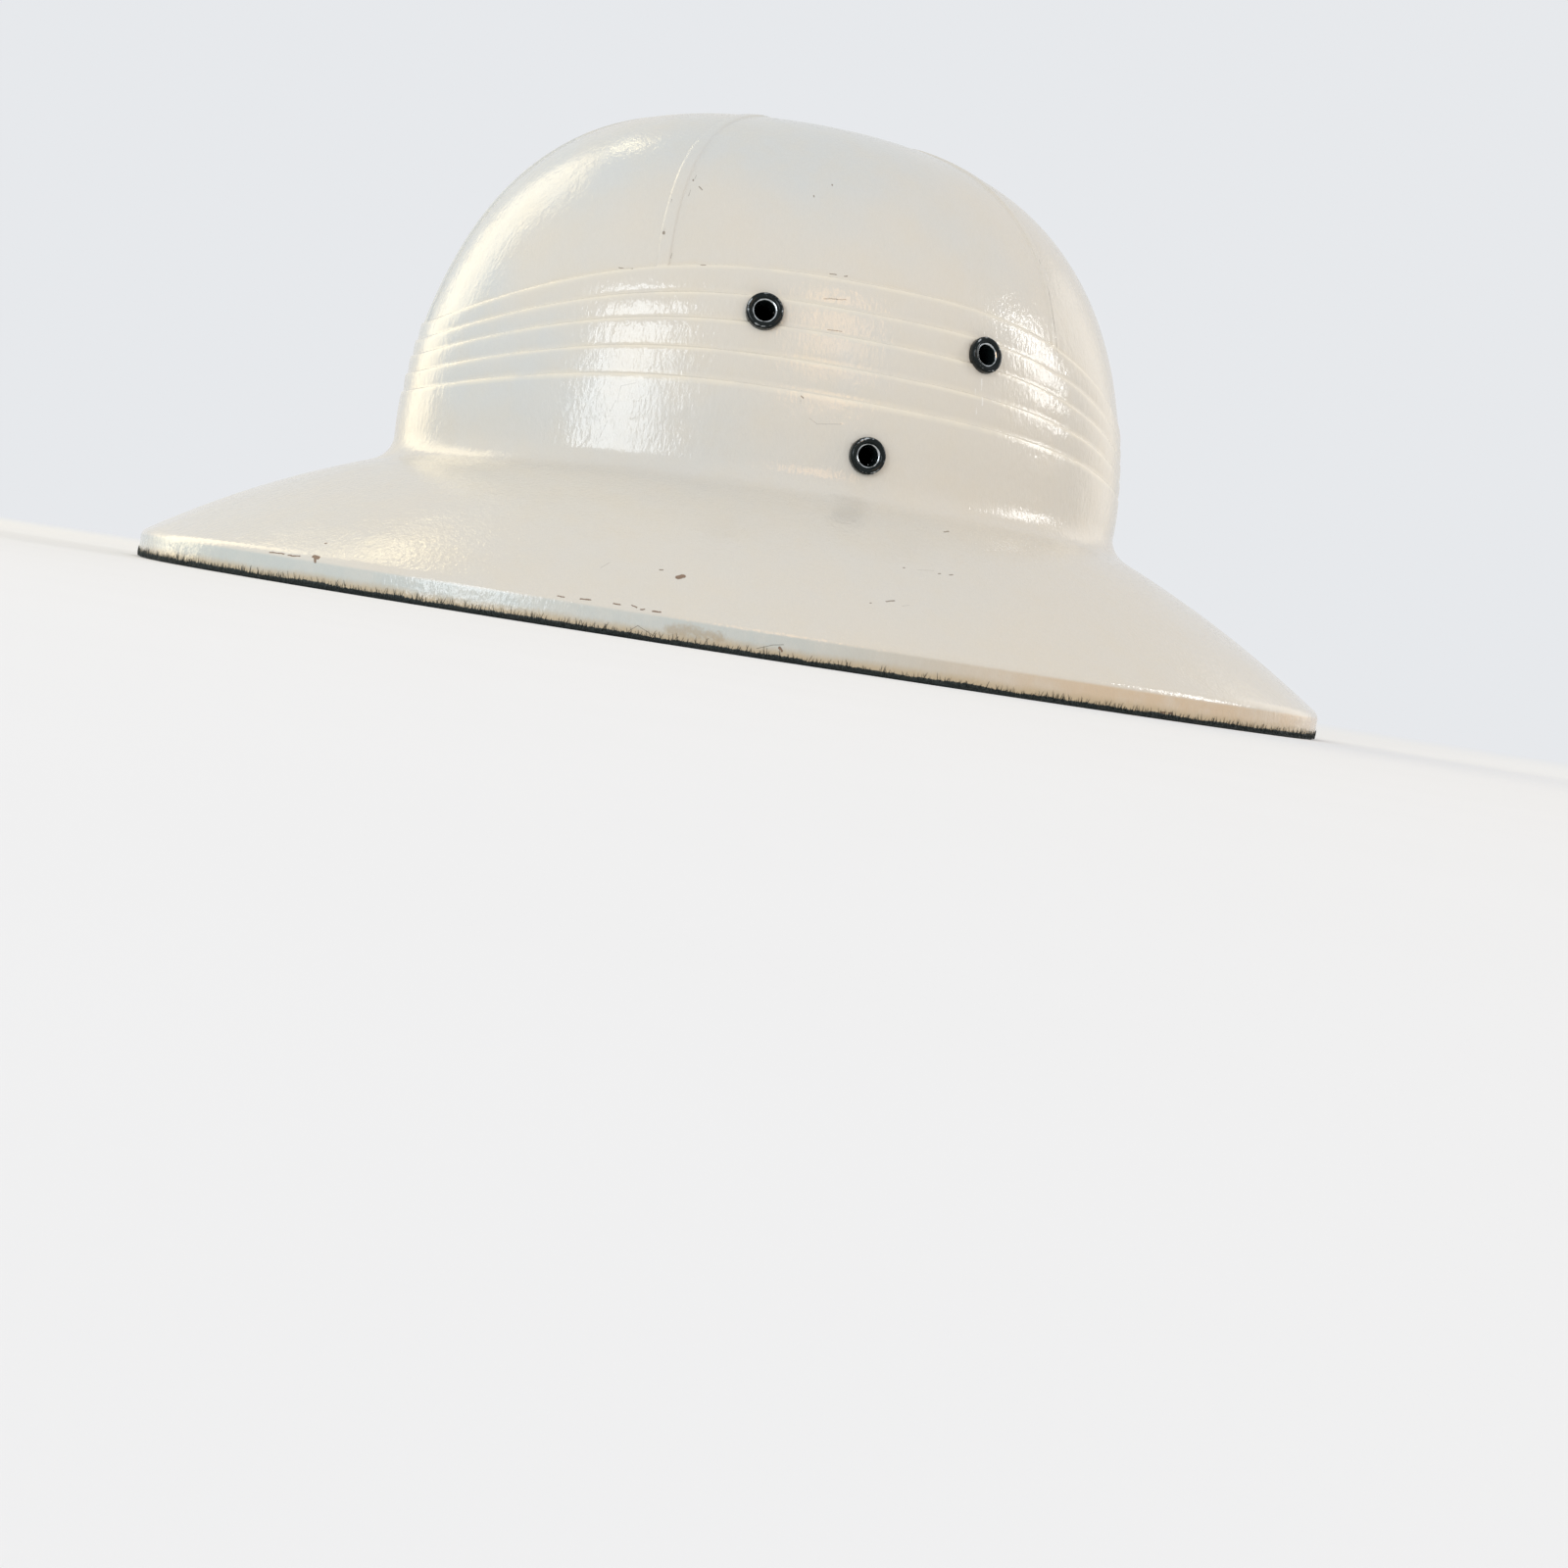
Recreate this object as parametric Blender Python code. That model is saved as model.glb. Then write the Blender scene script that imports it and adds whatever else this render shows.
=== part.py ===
# Pith helmet: one pressed fibre shell with six small vent eyelets.
# Metres, +Z up, the front towards -Y and the wearer's left towards +X.
# The origin is the centre of the lip's lower edge, which lies flat on z = 0.

from math import asin, copysign, cos, hypot, pi, radians, sin

import bmesh
import bpy
from mathutils import Matrix, Vector

MM = 0.001

# Shell, outside sizes
BRIM_LENGTH = 335.0 * MM
BRIM_WIDTH = 275.5 * MM
BRIM_SQUARENESS = 2.29      # 2 is an ellipse, more is fuller at the quarters
BRIM_FRONT_FULLNESS = 0.027  # share by which the front half is wider, and the rear narrower
HEIGHT = 146.5 * MM
WALL = 2.8 * MM

# Crown
CROWN_LENGTH = 209.4 * MM   # at the crease, where the crown meets the brim
CROWN_WIDTH = 165.9 * MM
CROWN_SIDE_POWER = 2.93     # how upright the wall stands
CROWN_TOP_POWER = 2.21      # how soon it turns over to the top

# Crease between crown and brim
CREASE_FRONT = 38.0 * MM
CREASE_SIDE = 43.9 * MM
CREASE_REAR = 42.9 * MM
CREASE_FILLET = 6.0 * MM

# Brim and its turned-down lip
LIP_HEIGHT = 7.1 * MM
RIDGE_ROUNDING = 1.5 * MM
BRIM_SAG_FRONT = 0.33       # share of the fall that comes late, which arches the brim
BRIM_SAG_SIDE = 0.34
BRIM_SAG_REAR = 0.25

# Pleats pressed round the crown, each with its free edge upwards
PLEAT_TOP_SIDE = 98.6 * MM
PLEAT_TOP_DIP_FRONT = 23.5 * MM  # how much lower the top edge runs there than at the side
PLEAT_TOP_DIP_REAR = 27.0 * MM
PLEAT_LOW_SIDE = 68.2 * MM
PLEAT_LOW_DIP = 12.3 * MM
PLEAT_DIP_POWER = 3.1       # how late round the side the dip begins
PLEAT_SHARES = (0.0, 0.25, 0.48, 0.74, 1.0)  # each edge's place, from the top edge to the lowest
PLEAT_DEPTH = 0.9 * MM
PLEAT_LEDGE = 0.8 * MM      # height over which an edge steps out
PLEAT_TAIL = 13.0 * MM      # below the lowest edge, down to the plain wall

# Seam bands from the top edge of the pleats towards the crown's top: front, rear and two a side
SEAM_SPREAD = radians(35.0)  # side seams, each way from the middle of the side
SEAM_FAN = radians(13.0)    # how much more they spread for each crown's height over the pleats
SEAM_WIDTH = 3.4 * MM
SEAM_RISE = 0.5 * MM
SEAM_RAMP = 0.5 * MM
SEAM_FADE = 0.3             # share of the crown's radius inside which no band shows

# Vent eyelets, three a side
EYELET_HOLE = 5.3 * MM
EYELET_BARREL = 6.7 * MM
EYELET_FLANGE = 9.6 * MM
EYELET_RISE = 1.5 * MM
EYELET_ROLL_LOW = 0.35      # share of the rise at which the roll meets the hole and the wall
EYELET_CLINCH = 9.0 * MM    # turned-over edge inside the shell
EYELET_CLINCH_RISE = 0.9 * MM
EYELET_UPPER_APART = 61.0 * MM
EYELET_UPPER_HEIGHT = 86.0 * MM
EYELET_LOWER_HEIGHT = 54.5 * MM
CLEARANCE = 0.3 * MM

# Finishes: linear colour, roughness and metallic value
PAINT = ((0.66, 0.64, 0.58), 0.18, 0.0)
ENAMEL = ((0.02, 0.028, 0.026), 0.3, 0.6)

# Fineness of the solids
GORE_STEPS = 8
DOME_STEPS = 9
EYELET_SIDES = 20

SIDE = pi / 2
SMALL_STEP = 0.002          # for slopes, in radians and in shares of the crown's height
SETTLE = 30                 # rounds of finding the angle of a point on the wall
SHARP_FROM = radians(35)
DRILL_REACH = 20.0 * MM     # past both faces of the wall


def clear_scene():
    for old in list(bpy.data.objects):
        bpy.data.objects.remove(old, do_unlink=True)


def signed_power(value, exponent):
    return copysign(abs(value) ** exponent, value)


def oval(angle, half_length, half_width, squareness):
    # Angle 0 is the front, a quarter turn is the wearer's left.
    x = half_width * signed_power(sin(angle), 2 / squareness)
    y = -half_length * signed_power(cos(angle), 2 / squareness)
    return Vector((x, y, 0))


def round_the_oval(angle, front, side, rear):
    end = front if cos(angle) > 0 else rear
    return side + (end - side) * cos(angle) ** 2


def rim(angle, inset):
    point = oval(angle, BRIM_LENGTH / 2 - inset, BRIM_WIDTH / 2 - inset, BRIM_SQUARENESS)
    point.x *= 1 - BRIM_FRONT_FULLNESS * point.y / (BRIM_LENGTH / 2)
    return point


def crease(angle, inset):
    return oval(angle, CROWN_LENGTH / 2 - inset, CROWN_WIDTH / 2 - inset, 2)


def brim_fall(angle):
    # The brim's slopes at the crease and at the rim.
    run = (rim(angle, 0) - crease(angle, 0)).length
    fall = round_the_oval(angle, CREASE_FRONT, CREASE_SIDE, CREASE_REAR) - LIP_HEIGHT
    sag = round_the_oval(angle, BRIM_SAG_FRONT, BRIM_SAG_SIDE, BRIM_SAG_REAR)
    return fall / run * (1 - sag), fall / run * (1 + sag)


def lowered(height, slope, inset):
    # Where a wall's inner corner lies, for an outer corner between a slope and an upright.
    return height - inset * (hypot(1, slope) - slope)


def crease_height(angle, inset):
    height = round_the_oval(angle, CREASE_FRONT, CREASE_SIDE, CREASE_REAR)
    return lowered(height, brim_fall(angle)[0], inset)


def ridge_height(angle, inset):
    return lowered(LIP_HEIGHT, brim_fall(angle)[1], inset)


def brim_point(angle, share, inset):
    # Share 0 is the crease and 1 the ridge over the lip.
    point = crease(angle, inset).lerp(rim(angle, inset), share)
    sag = round_the_oval(angle, BRIM_SAG_FRONT, BRIM_SAG_SIDE, BRIM_SAG_REAR)
    high = crease_height(angle, inset)
    low = ridge_height(angle, inset)
    point.z = high + (low - high) * (share * (1 - sag) + share**2 * sag)
    return point


def crown_radius(rise):
    # Radius, as a share of the crease's, at a share of the crown's height.
    return max(0.0, 1 - rise**CROWN_TOP_POWER) ** (1 / CROWN_SIDE_POWER)


def crown_rise(radius):
    return (1 - radius**CROWN_SIDE_POWER) ** (1 / CROWN_TOP_POWER)


def crown_point(angle, rise, inset):
    base = crease_height(angle, inset)
    point = crease(angle, inset) * crown_radius(rise)
    point.z = base + (HEIGHT - inset - base) * rise
    return point


def rise_at(angle, height):
    base = crease_height(angle, 0)
    return (height - base) / (HEIGHT - base)


def crown_normal(angle, rise):
    low = max(0.0, rise - SMALL_STEP)
    high = min(1.0, rise + SMALL_STEP)
    along = crown_point(angle + SMALL_STEP, rise, 0) - crown_point(angle - SMALL_STEP, rise, 0)
    up = crown_point(angle, high, 0) - crown_point(angle, low, 0)
    return along.cross(up).normalized()


def pleat_edge(angle, share):
    # Height of a pleat's upper edge.
    dip = abs(cos(angle)) ** PLEAT_DIP_POWER
    top_dip = PLEAT_TOP_DIP_FRONT if cos(angle) > 0 else PLEAT_TOP_DIP_REAR
    top = PLEAT_TOP_SIDE - top_dip * dip
    low = PLEAT_LOW_SIDE - PLEAT_LOW_DIP * dip
    return top + (low - top) * share


def pleat_relief(angle, height):
    # How far the pleats stand proud of the plain crown.
    edges = [pleat_edge(angle, share) for share in PLEAT_SHARES]
    ends = edges[1:] + [edges[-1] - PLEAT_TAIL]
    for edge, end in zip(edges, ends):
        if end < height <= edge:
            below = edge - height
            if below < PLEAT_LEDGE:
                return PLEAT_DEPTH * below / PLEAT_LEDGE
            return PLEAT_DEPTH * (height - end) / (edge - end - PLEAT_LEDGE)
    return 0.0


def highest_relief(angle, low, high):
    # The most that the pleats stand proud between two heights.
    crests = [pleat_edge(angle, share) - PLEAT_LEDGE for share in PLEAT_SHARES]
    heights = [low, high] + [crest for crest in crests if low < crest < high]
    return max(pleat_relief(angle, height) for height in heights)


def outer_crown(angle, rise, seam_rise=0.0):
    point = crown_point(angle, rise, 0)
    proud = pleat_relief(angle, point.z) + seam_rise
    return point + crown_normal(angle, rise) * proud


def columns(rise):
    # Angles round the shell, four for each seam band and even steps between, each with its seam share.
    spread = SEAM_SPREAD + SEAM_FAN * max(0.0, rise - rise_at(SIDE, PLEAT_TOP_SIDE))
    seams = [0, SIDE - spread, SIDE + spread, pi, 3 * SIDE - spread, 3 * SIDE + spread]
    radius = max(crown_radius(rise), SEAM_FADE)
    found = []
    for seam, following in zip(seams, seams[1:] + [2 * pi]):
        here = (crease(seam, 0) * radius).length
        there = (crease(following, 0) * radius).length
        half = SEAM_WIDTH / 2 / here
        ramp = SEAM_RAMP / here
        found += [(seam - half, 0), (seam - half + ramp, 1), (seam + half - ramp, 1), (seam + half, 0)]
        start = seam + half
        gore = following - SEAM_WIDTH / 2 / there - start
        found += [(start + gore * step / GORE_STEPS, 0) for step in range(1, GORE_STEPS)]
    return found


def plain_ring(place):
    return [place(angle) for angle, _ in columns(0)]


def curved_rings(start, corner, end, steps):
    # Rings along a rounded corner, each point on its own quadratic curve.
    rings = []
    for step in range(steps + 1):
        share = step / steps
        rings.append([
            a.lerp(b, share).lerp(b.lerp(c, share), share)
            for a, b, c in zip(start, corner, end)
        ])
    return rings


def dome_rings():
    # From near the crown's top down to just over the first pleat edge, with the seam bands raised.
    rings = []
    for step in range(DOME_STEPS - 1, -1, -1):
        turn = cos(SIDE * step / DOME_STEPS)
        ring = []
        middle = crown_rise(crown_radius(rise_at(SIDE, PLEAT_TOP_SIDE)) * turn)
        for angle, seam in columns(middle):
            radius = crown_radius(rise_at(angle, pleat_edge(angle, 0))) * turn
            proud = SEAM_RISE * seam if radius > SEAM_FADE else 0
            ring.append(outer_crown(angle, crown_rise(radius), proud))
        rings.append(ring)
    return rings


def pleat_rings():
    rings = []
    for share in PLEAT_SHARES:
        if share > 0:
            rings.append(plain_ring(lambda angle: outer_crown(
                angle, rise_at(angle, pleat_edge(angle, share)))))
        rings.append(plain_ring(lambda angle: outer_crown(
            angle, rise_at(angle, pleat_edge(angle, share) - PLEAT_LEDGE))))
    return rings


def lower_wall_rings(steps):
    # From the lowest pleat's ledge down to the crease's fillet.
    rings = []
    for step in range(1, steps + 1):
        def place(angle):
            top = rise_at(angle, pleat_edge(angle, 1) - PLEAT_LEDGE)
            low = rise_at(angle, crease_height(angle, 0) + CREASE_FILLET)
            return outer_crown(angle, top + (low - top) * step / steps)
        rings.append(plain_ring(place))
    return rings


def crease_rings(inset, steps):
    # The fillet keeps its centre, so the inner one is wider by the wall.
    reach = CREASE_FILLET + inset

    def upright(angle):
        base = crease_height(angle, inset)
        return crown_point(angle, reach / (HEIGHT - inset - base), inset)

    def sloping(angle):
        run = (rim(angle, inset) - crease(angle, inset)).length
        return brim_point(angle, reach / run, inset)

    return curved_rings(
        plain_ring(upright),
        plain_ring(lambda angle: brim_point(angle, 0, inset)),
        plain_ring(sloping),
        steps,
    )


def brim_rings(inset, steps):
    rings = []
    for step in range(1, steps + 1):
        def place(angle):
            run = (rim(angle, inset) - crease(angle, inset)).length
            start = (CREASE_FILLET + inset) / run
            end = 1 - RIDGE_ROUNDING / run
            return brim_point(angle, start + (end - start) * step / steps, inset)
        rings.append(plain_ring(place))
    return rings


def lip_rings():
    def corner(angle):
        return brim_point(angle, 1, 0)

    def edge(angle):
        run = (rim(angle, 0) - crease(angle, 0)).length
        return brim_point(angle, 1 - RIDGE_ROUNDING / run, 0)

    def side(angle):
        return corner(angle) - Vector((0, 0, RIDGE_ROUNDING))

    rounded = curved_rings(plain_ring(edge), plain_ring(corner), plain_ring(side), 3)
    return rounded[1:] + [plain_ring(lambda angle: rim(angle, 0))]


def outer_rings():
    rings = dome_rings() + pleat_rings() + lower_wall_rings(3)
    rings += crease_rings(0, 4)[1:] + brim_rings(0, 4) + lip_rings()
    return rings


def inner_rings():
    # The plain inside, from the lip's lower edge up to the crown's top.
    rings = [plain_ring(lambda angle: rim(angle, WALL))]
    rings.append(plain_ring(lambda angle: brim_point(angle, 1, WALL)))
    rings += reversed(brim_rings(WALL, 4))
    rings += reversed(crease_rings(WALL, 3))
    for step in range(1, DOME_STEPS):
        def place(angle):
            base = crease_height(angle, WALL)
            start = crown_radius((CREASE_FILLET + WALL) / (HEIGHT - WALL - base))
            return crown_point(angle, crown_rise(start * cos(SIDE * step / DOME_STEPS)), WALL)
        rings.append(plain_ring(place))
    return rings


def material(name, colour, roughness, metallic):
    made = bpy.data.materials.new(name)
    made.use_nodes = True
    shader = made.node_tree.nodes["Principled BSDF"]
    shader.inputs["Base Color"].default_value = (*colour, 1)
    shader.inputs["Roughness"].default_value = roughness
    shader.inputs["Metallic"].default_value = metallic
    return made


def add_object(name, mesh_maker, finish):
    mesh = bpy.data.meshes.new(name)
    mesh_maker.to_mesh(mesh)
    mesh_maker.free()
    mesh.shade_smooth()
    mesh.set_sharp_from_angle(angle=SHARP_FROM)
    made = bpy.data.objects.new(name, mesh)
    bpy.context.scene.collection.objects.link(made)
    if finish:
        mesh.materials.append(finish)
    return made


def shell():
    # The wall is drawn as one loop of edges, moved from ring to ring by extruding it.
    rings = outer_rings() + inner_rings()
    bm = bmesh.new()
    top = bm.verts.new((0, 0, HEIGHT))
    loop = [bm.verts.new(point) for point in rings[0]]
    for here, there in zip(loop, loop[1:] + loop[:1]):
        bm.faces.new((top, here, there))
    for ring in rings[1:]:
        edges = [bm.edges.get(pair) for pair in zip(loop, loop[1:] + loop[:1])]
        made = bmesh.ops.extrude_edge_only(bm, edges=edges)["geom"]
        fresh = {item for item in made if isinstance(item, bmesh.types.BMVert)}
        following = []
        for vertex, point in zip(loop, ring):
            ends = [edge.other_vert(vertex) for edge in vertex.link_edges]
            partner = next(end for end in ends if end in fresh)
            partner.co = point
            following.append(partner)
        loop = following
    inside_top = bm.verts.new((0, 0, HEIGHT - WALL))
    for here, there in zip(loop, loop[1:] + loop[:1]):
        bm.faces.new((inside_top, there, here))
    bmesh.ops.recalc_face_normals(bm, faces=bm.faces)
    return add_object("shell", bm, material("shell_paint", *PAINT))


def wall_at(y, height, inset):
    # The angle and point of the crown's left wall at a given length and height.
    angle = SIDE
    for _ in range(SETTLE):
        base = crease_height(angle, inset)
        rise = (height - base) / (HEIGHT - inset - base)
        reach = (CROWN_LENGTH / 2 - inset) * crown_radius(rise)
        angle = SIDE + asin(max(-1.0, min(1.0, y / reach)))
    return angle, crown_point(angle, rise, inset)


def facet_sag():
    # How far the flat facets of the side gore lie inside the true curve.
    return CROWN_LENGTH / 2 * (1 - cos(SEAM_SPREAD / GORE_STEPS))


def eyelet_seat(y, height):
    # Centre, outward direction, and how far out and in the flanges have to clear the wall.
    angle, centre = wall_at(y, height, 0)
    outward = crown_normal(angle, rise_at(angle, height))
    reach = EYELET_FLANGE / 2
    proud = 0.0
    deep = WALL
    for step in range(EYELET_SIDES):
        turn = 2 * pi * step / EYELET_SIDES
        place = (y + reach * cos(turn), height + reach * sin(turn))
        spot = wall_at(*place, 0)[0]
        proud = max(proud, highest_relief(spot, height - reach, height + reach))
        deep = max(deep, (centre - wall_at(*place, WALL)[1]).dot(outward))
    return centre, outward, proud + CLEARANCE, deep + facet_sag() + CLEARANCE


def eyelet_profile(seat, clinch):
    # Radius and height outwards of one turned piece: rolled flange, barrel and clinched back.
    hole = EYELET_HOLE / 2
    barrel = EYELET_BARREL / 2
    flange = EYELET_FLANGE / 2
    back = EYELET_CLINCH / 2
    roll = (flange - hole) / 2
    crest = flange - roll
    points = []
    for turn in (180, 145, 110, 70, 35, 0):
        lift = EYELET_RISE * (EYELET_ROLL_LOW + (1 - EYELET_ROLL_LOW) * sin(radians(turn)))
        points.append((crest + roll * cos(radians(turn)), seat + lift))
    points += [(flange, seat), (barrel, seat), (barrel, -clinch), (back, -clinch)]
    points.append((back, -clinch - EYELET_CLINCH_RISE / 2))
    points.append(((back + hole) / 2, -clinch - EYELET_CLINCH_RISE))
    points.append((hole, -clinch - EYELET_CLINCH_RISE / 2))
    return points


def outward_frame(centre, outward):
    # A frame whose Z points out of the wall.
    frame = outward.to_track_quat("Z", "Y").to_matrix().to_4x4()
    return Matrix.Translation(centre) @ frame


def turned(profile, sides):
    bm = bmesh.new()
    ring = [bm.verts.new((radius, 0, height)) for radius, height in profile]
    edges = [bm.edges.new(pair) for pair in zip(ring, ring[1:] + ring[:1])]
    bmesh.ops.spin(bm, geom=ring + edges, axis=(0, 0, 1), cent=(0, 0, 0),
                   angle=2 * pi, steps=sides, use_merge=True)
    bmesh.ops.remove_doubles(bm, verts=bm.verts, dist=0.00001)
    bmesh.ops.recalc_face_normals(bm, faces=bm.faces)
    return bm


def eyelet(name, centre, outward, seat, clinch, finish):
    made = add_object(name, turned(eyelet_profile(seat, clinch), EYELET_SIDES), finish)
    made.matrix_world = outward_frame(centre, outward)
    return made


def drill(target, name, centre, outward):
    bm = bmesh.new()
    radius = EYELET_BARREL / 2 + CLEARANCE
    bmesh.ops.create_cone(bm, cap_ends=True, segments=EYELET_SIDES, radius1=radius,
                          radius2=radius, depth=WALL + 2 * DRILL_REACH)
    cutter = add_object(name + "_drill", bm, None)
    cutter.matrix_world = outward_frame(centre, outward)
    cutter.hide_render = True
    cutter.display_type = "WIRE"
    cut = target.modifiers.new(name + "_hole", "BOOLEAN")
    cut.operation = "DIFFERENCE"
    cut.solver = "EXACT"
    cut.object = cutter


def main():
    clear_scene()
    body = shell()
    metal = material("eyelet_enamel", *ENAMEL)
    places = (
        ("front", -EYELET_UPPER_APART / 2, EYELET_UPPER_HEIGHT),
        ("rear", EYELET_UPPER_APART / 2, EYELET_UPPER_HEIGHT),
        ("low", 0.0, EYELET_LOWER_HEIGHT),
    )
    for side, mirror in (("left", 1), ("right", -1)):
        for place, y, height in places:
            centre, outward, seat, clinch = eyelet_seat(y, height)
            centre.x *= mirror
            outward.x *= mirror
            name = f"eyelet_{side}_{place}"
            eyelet(name, centre, outward, seat, clinch, metal)
            drill(body, name, centre, outward)


main()
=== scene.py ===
# Pith helmet, the looks: a fine painted shell, six rolled eyelets, loose fibres along the lip,
# a pale floor, lights and a camera.
# Sizes in the dictionaries are millimetres, degrees and shares; meshes are made metres at the end.

from functools import partial
from math import asin, atan, atan2, copysign, cos, hypot, pi, radians, sin
from random import Random

import bmesh
import bpy
from mathutils import Matrix, Vector, noise
from mathutils.bvhtree import BVHTree


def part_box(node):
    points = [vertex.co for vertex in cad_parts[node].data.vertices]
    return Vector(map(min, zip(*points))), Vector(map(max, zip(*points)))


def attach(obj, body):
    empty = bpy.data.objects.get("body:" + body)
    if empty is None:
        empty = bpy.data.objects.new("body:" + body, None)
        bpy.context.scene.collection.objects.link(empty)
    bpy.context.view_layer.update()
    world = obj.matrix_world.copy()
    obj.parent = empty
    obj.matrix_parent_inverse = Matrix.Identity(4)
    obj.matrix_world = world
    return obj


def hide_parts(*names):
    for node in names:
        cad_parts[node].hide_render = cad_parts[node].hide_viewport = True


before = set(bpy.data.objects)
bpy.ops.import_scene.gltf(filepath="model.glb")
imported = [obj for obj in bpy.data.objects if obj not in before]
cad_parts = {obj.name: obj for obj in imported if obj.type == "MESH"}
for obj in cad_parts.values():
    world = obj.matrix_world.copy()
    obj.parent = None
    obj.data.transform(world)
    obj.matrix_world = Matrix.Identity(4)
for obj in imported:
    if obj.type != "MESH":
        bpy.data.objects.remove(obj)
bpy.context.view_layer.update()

mm = 0.001
quarter = pi / 2
shellLow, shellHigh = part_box("shell")

# the pressed shell: the same sizes as the solid it stands for
shell = {
    "length": (shellHigh.y - shellLow.y) / mm,
    "width": (shellHigh.x - shellLow.x) / mm,
    "height": shellHigh.z / mm,
    "wall": 2.8,
    "brimSquareness": 2.29,
    "brimFrontFullness": 0.027,
    "crownLength": 209.4,
    "crownWidth": 165.9,
    "crownSidePower": 2.93,
    "crownTopPower": 2.21,
    "creaseFront": 38.0,
    "creaseSide": 43.9,
    "creaseRear": 42.9,
    "creaseFillet": 6.0,
    "lipHeight": 7.1,
    "ridgeRounding": 1.4,
    "edgeRounding": 1.15,
    "sagFront": 0.33,
    "sagSide": 0.34,
    "sagRear": 0.25,
    "waveSize": 46.0,           # the slow unevenness of a hand-finished pressing
    "waveDepth": 0.22,
    "rippleSize": 13.0,
    "rippleDepth": 0.05,
    "calmBelow": 6.0,           # and it dies out towards the lower edge
}

# pleats round the crown: each steps out below its edge, then sinks back to the next
pleat = {
    "topSide": 98.6,
    "topDipFront": 23.5,
    "topDipRear": 27.0,
    "lowSide": 68.2,
    "lowDip": 12.3,
    "dipPower": 3.1,
    "shares": (0.0, 0.25, 0.48, 0.74, 1.0),
    "depth": 0.5,
    "ledge": 0.65,
    "fullness": 1.9,            # how long a pleat stays proud before it sinks
    "tail": 13.0,               # how far the last pleat reaches below its edge
    "insideShare": 0.85,        # how much of the pleats shows inside
    "dirtAndShadeAbove": 0.2,           # dirt and painted shade sit this far over a ledge
    "dirtAndShadeReach": 1.0,
    # the painted highlight along a ledge's crest reaches this far
    "crestHighlightReach": 0.9,
}

# raised bands over the shell's joints, above the pleats
seam = {
    "spread": 35.0,
    "fan": 13.0,
    "halfFlat": 1.15,
    "halfWidth": 1.75,
    "rise": 0.42,
    "fade": 0.3,                # a band starts this far out from the top's middle
    "fadeLength": 0.1,
    "join": 0.85,               # from this share of the dome down a band rises to the pleats' height
}

bandOffsets = (0.0, 0.6, 1.1, 1.25, 1.4, 1.55, 1.7, 1.9)   # columns beside a seam's middle
plainColumns = 50                                          # columns between two bands
spacingRise = 0.3                                          # the rise whose columns the rows below share
liningRows = 4                                             # the outside's last rows, which the lining covers
merge = 0.01                                               # points nearer than this become one


def signedPower(value, exponent):
    return copysign(abs(value) ** exponent, value)


def smooth(value):
    value = max(0.0, min(1.0, value))
    return value * value * (3 - 2 * value)


def roundTheOval(angle, front, side, rear):
    end = front if cos(angle) > 0 else rear
    return side + (end - side) * cos(angle) ** 2


def rim(angle, inset):
    halfLength = shell["length"] / 2
    power = 2 / shell["brimSquareness"]
    x = (shell["width"] / 2 - inset) * signedPower(sin(angle), power)
    y = -(halfLength - inset) * signedPower(cos(angle), power)
    return Vector((x * (1 - shell["brimFrontFullness"] * y / halfLength), y, 0))


def crease(angle, inset):
    x = (shell["crownWidth"] / 2 - inset) * sin(angle)
    y = -(shell["crownLength"] / 2 - inset) * cos(angle)
    return Vector((x, y, 0))


def sagAt(angle):
    return roundTheOval(angle, shell["sagFront"], shell["sagSide"], shell["sagRear"])


def brimSlopes(angle):
    run = (rim(angle, 0) - crease(angle, 0)).length
    fall = roundTheOval(angle, shell["creaseFront"], shell["creaseSide"], shell["creaseRear"])
    slope = (fall - shell["lipHeight"]) / run
    return slope * (1 - sagAt(angle)), slope * (1 + sagAt(angle))


def creaseHeight(angle, inset):
    height = roundTheOval(angle, shell["creaseFront"], shell["creaseSide"], shell["creaseRear"])
    slope = brimSlopes(angle)[0]
    return height - inset * (hypot(1, slope) - slope)


def ridgeHeight(angle, inset):
    slope = brimSlopes(angle)[1]
    return shell["lipHeight"] - inset * (hypot(1, slope) - slope)


def brimPoint(angle, share, inset):
    # share 0 is the crease and 1 the ridge over the lip
    point = crease(angle, inset).lerp(rim(angle, inset), share)
    high = creaseHeight(angle, inset)
    low = ridgeHeight(angle, inset)
    point.z = high + (low - high) * (share * (1 - sagAt(angle)) + share**2 * sagAt(angle))
    return point


def crownRadius(rise):
    return max(0.0, 1 - rise ** shell["crownTopPower"]) ** (1 / shell["crownSidePower"])


def crownRise(radius):
    return (1 - radius ** shell["crownSidePower"]) ** (1 / shell["crownTopPower"])


def crownPoint(angle, rise, inset):
    base = creaseHeight(angle, inset)
    point = crease(angle, inset) * crownRadius(rise)
    point.z = base + (shell["height"] - inset - base) * rise
    return point


def riseAt(angle, height, inset=0):
    base = creaseHeight(angle, inset)
    return (height - base) / (shell["height"] - inset - base)


def crownNormal(angle, rise):
    step = 0.002
    low = max(0.0, rise - step)
    high = min(1.0, rise + step)
    along = crownPoint(angle + step, rise, 0) - crownPoint(angle - step, rise, 0)
    up = crownPoint(angle, high, 0) - crownPoint(angle, low, 0)
    return along.cross(up).normalized()


def pleatEdge(angle, share):
    dip = abs(cos(angle)) ** pleat["dipPower"]
    topDip = pleat["topDipFront"] if cos(angle) > 0 else pleat["topDipRear"]
    top = pleat["topSide"] - topDip * dip
    low = pleat["lowSide"] - pleat["lowDip"] * dip
    return top + (low - top) * share


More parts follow.
